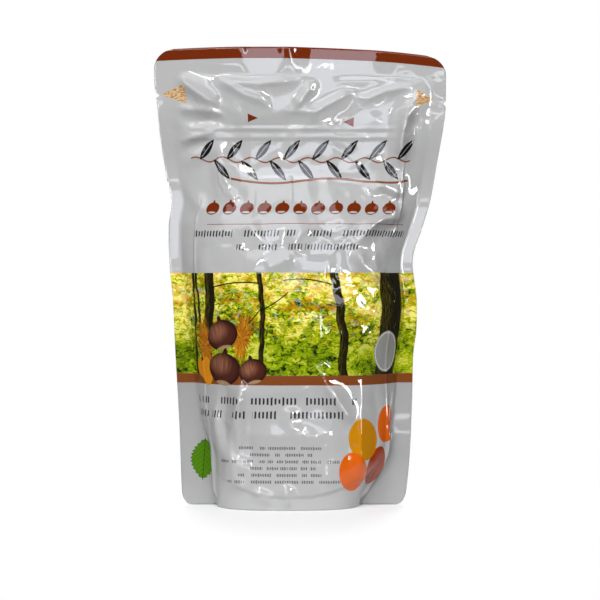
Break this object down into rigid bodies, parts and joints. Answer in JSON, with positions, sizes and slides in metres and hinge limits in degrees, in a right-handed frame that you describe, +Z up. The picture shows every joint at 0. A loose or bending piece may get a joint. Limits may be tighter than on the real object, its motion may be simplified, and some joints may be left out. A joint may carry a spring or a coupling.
{
  "type": "stand-up pouch of cooked chestnuts",
  "caption": "Filled stand-up film pouch of cooked chestnuts: flat top and side seals, zip ribs, tear notches, bulging body, rounded gusset foot with flat corner wings.",
  "frame": {"origin": "on the surface the pouch stands on, below the middle of its bounding box", "axes": "+Z up along the pouch, front panel towards -Y, +X to the right as seen from the front"},
  "size_m": [0.1802, 0.0684, 0.283],
  "materials": {
    "film_laminate": "glossy pearl grey printed film laminate"
  },
  "bodies": {
    "root": {"pouch": "film_laminate"}
  },
  "joints": []
}
